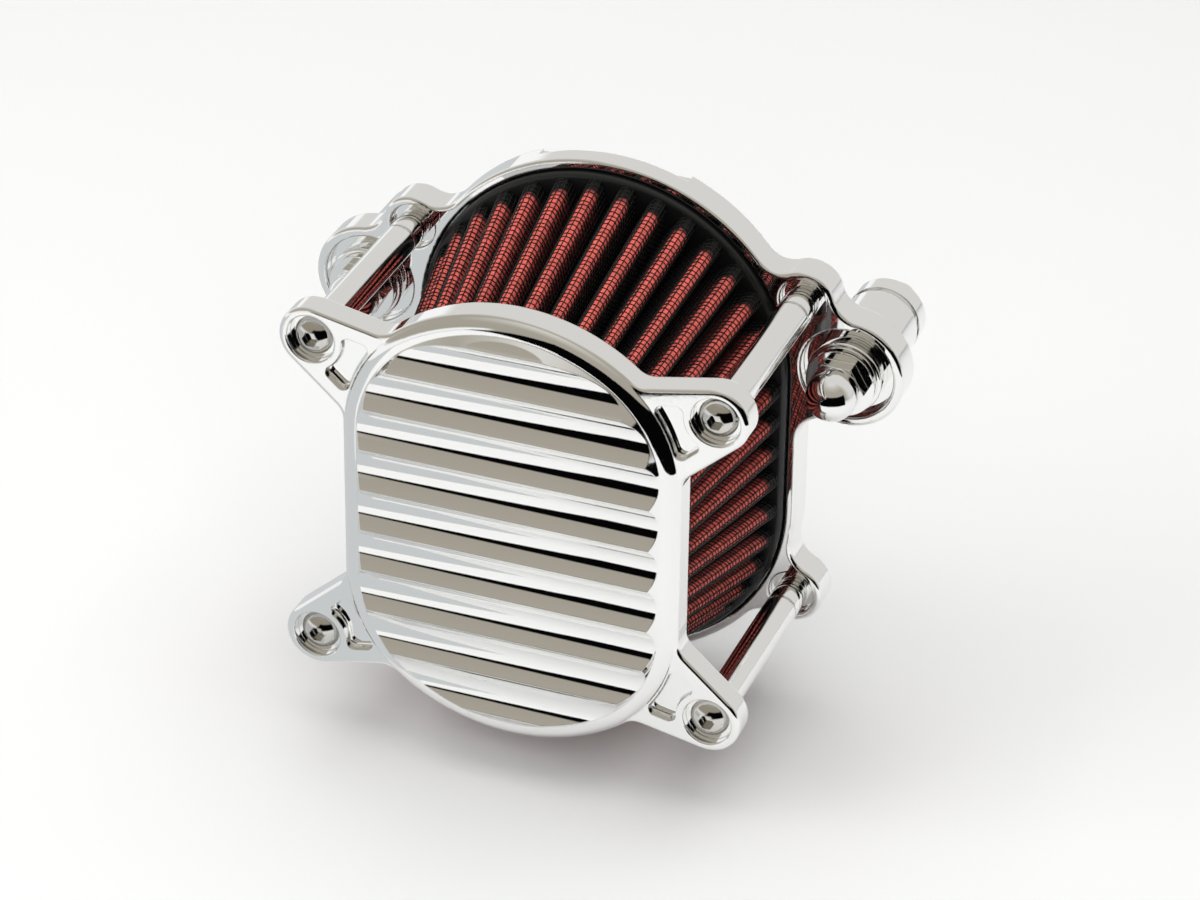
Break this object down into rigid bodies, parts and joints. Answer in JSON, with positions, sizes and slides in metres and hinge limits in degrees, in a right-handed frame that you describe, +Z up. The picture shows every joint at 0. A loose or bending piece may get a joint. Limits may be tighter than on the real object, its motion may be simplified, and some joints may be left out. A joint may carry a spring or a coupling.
{
  "type": "air cleaner",
  "caption": "Motorcycle air cleaner: tapered oval pleated filter open at its sides, clamped between a finned chrome cover on posts and a chrome back plate with breather bolts.",
  "frame": {"origin": "centre of the intake bore and of the throttle screw circle, on the gasket face that meets the throttle body", "axes": "+Y towards the engine, along the intake bore; -Y towards the finned cover; +X across, along the line between the two breather bolts; +Z up"},
  "size_m": [0.1758, 0.1232, 0.1576],
  "materials": {
    "chromed_cover": "mirror polished chrome plate over billet aluminium",
    "chromed_plate": "mirror polished chrome plate over billet aluminium",
    "chromed_screw": "bright chrome plate over steel",
    "chromed_post": "turned and chrome plated",
    "chromed_breather": "turned and chrome plated",
    "zinc_screw": "bright zinc plate over steel",
    "cotton_media": "oiled red cotton gauze",
    "coated_wire": "black epoxy coated woven wire",
    "cap_rubber": "moulded black urethane, satin",
    "o_ring_rubber": "moulded black nitrile",
    "adapter_aluminium": "turned bare aluminium",
    "gasket_paper": "pressed fibre sheet"
  },
  "bodies": {
    "root": {"adapter_o_ring": "o_ring_rubber", "back_plate": "chromed_plate", "breather_bolt_left": "chromed_breather", "breather_bolt_right": "chromed_breather", "breather_collar_left": "chromed_breather", "breather_collar_o_ring_left": "o_ring_rubber", "breather_collar_o_ring_right": "o_ring_rubber", "breather_collar_right": "chromed_breather", "breather_head_o_ring_left": "o_ring_rubber", "breather_head_o_ring_right": "o_ring_rubber", "breather_plate_o_ring_left": "o_ring_rubber", "breather_plate_o_ring_right": "o_ring_rubber", "breather_spacer_left": "chromed_breather", "breather_spacer_right": "chromed_breather", "cover_screws": "chromed_screw", "filter_front_cap": "cap_rubber", "filter_inner_screen": "coated_wire", "filter_media": "cotton_media", "filter_outer_screen": "coated_wire", "filter_rear_cap": "cap_rubber", "front_cover": "chromed_cover", "intake_adapter": "adapter_aluminium", "post_lower_left": "chromed_post", "post_lower_right": "chromed_post", "post_rear_screws": "zinc_screw", "post_upper_left": "chromed_post", "post_upper_right": "chromed_post", "throttle_gasket": "gasket_paper", "throttle_screws": "zinc_screw"}
  },
  "joints": []
}
